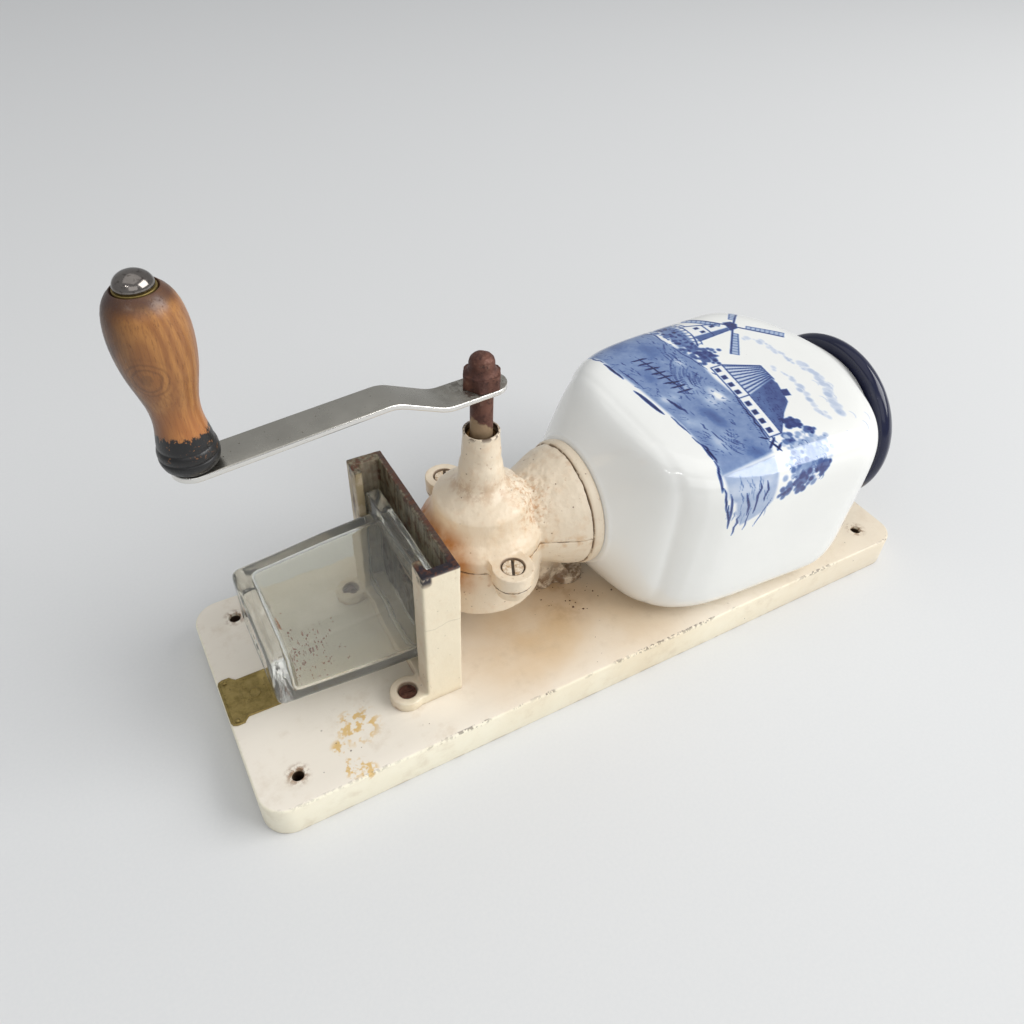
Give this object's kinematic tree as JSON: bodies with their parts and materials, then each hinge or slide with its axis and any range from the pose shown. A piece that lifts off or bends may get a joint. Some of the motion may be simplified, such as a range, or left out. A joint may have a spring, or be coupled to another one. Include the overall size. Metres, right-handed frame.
{
  "type": "coffee grinder",
  "caption": "Old wall-mounted hand crank coffee grinder: cream iron mill on a board, white ceramic hopper with a blue landscape, glass cup, steel crank with a wooden grip.",
  "frame": {"origin": "centre of the board's back face, which is the face that lies on the table or against the wall", "axes": "+X runs along the board from the glass cup to the hopper's lid and points up when the grinder hangs on a wall, +Y runs across the board, +Z points away from the board along the crank spindle"},
  "size_m": [0.376, 0.135, 0.2371],
  "materials": {
    "board_paint": "old cream gloss paint on wood, yellowed, chipped dark along the edges",
    "cream_enamel": "thick cream enamel on rough cast iron, brown grime in the corners and rust at the edges",
    "painted_screw": "slotted screw heads painted over with the casting",
    "aged_brass": "dull olive brown brass",
    "rusty_steel": "brown rusted steel",
    "zinc_steel": "dull plated steel",
    "spring_steel": "drawn spring wire",
    "burr_iron": "hard grey iron",
    "bronze": "oiled bronze",
    "black_rubber": "soft black rubber",
    "white_glaze": "white glazed earthenware, painted under the glaze in blue",
    "navy_lid": "glossy dark navy",
    "cup_glass": "clear pressed glass with a faint green tint",
    "nickel_plate": "worn dull nickel plate with dark pitting",
    "turned_wood": "honey brown turned beech under old varnish, base painted black"
  },
  "bodies": {
    "base": {"board": "board_paint", "badge": "aged_brass", "badge_pins": "aged_brass", "cup_bracket": "cream_enamel", "bracket_screws": "rusty_steel", "rear_housing": "cream_enamel", "neck_foot_bolt": "zinc_steel", "front_cover": "cream_enamel", "cover_screws": "painted_screw", "neck_collar": "cream_enamel", "hopper_gasket": "black_rubber", "hopper": "white_glaze", "ring_burr": "burr_iron", "ring_burr_pins": "zinc_steel", "bearing_bush": "bronze", "lock_nut": "zinc_steel", "burr_spring": "spring_steel"},
    "adjuster": {"adjusting_screw": "zinc_steel"},
    "crank": {"spindle": "rusty_steel", "cone_burr": "burr_iron", "burr_pin": "zinc_steel", "crank_arm": "nickel_plate", "cap_nut": "rusty_steel", "grip_axle": "nickel_plate", "grip_washer": "nickel_plate"},
    "grip": {"grip": "turned_wood", "cap_washer": "aged_brass", "grip_cap": "nickel_plate"},
    "cup": {"glass_cup": "cup_glass"},
    "lid": {"lid": "navy_lid"}
  },
  "joints": [
    {"name": "adjuster_travel", "type": "slide", "parent": "base", "child": "adjuster", "axis": [0, 0, 1], "range_m": [0, 0.0012], "deforming": ["burr_spring"]},
    {"name": "crank_turn", "type": "hinge", "parent": "adjuster", "child": "crank", "pos_m": [-0.054, 0, 0.1], "axis": [0, 0, 1], "continuous": true},
    {"name": "grip_turn", "type": "hinge", "parent": "crank", "child": "grip", "pos_m": [-0.17135, -0.01027, 0.16516], "axis": [-0.0296, -0.0026, 0.9996], "continuous": true},
    {"name": "cup_lift", "type": "slide", "parent": "base", "child": "cup", "axis": [0, 0, 1], "range_m": [0, 0.06]},
    {"name": "lid_pull", "type": "slide", "parent": "base", "child": "lid", "axis": [1, 0, 0], "range_m": [0, 0.04]}
  ]
}
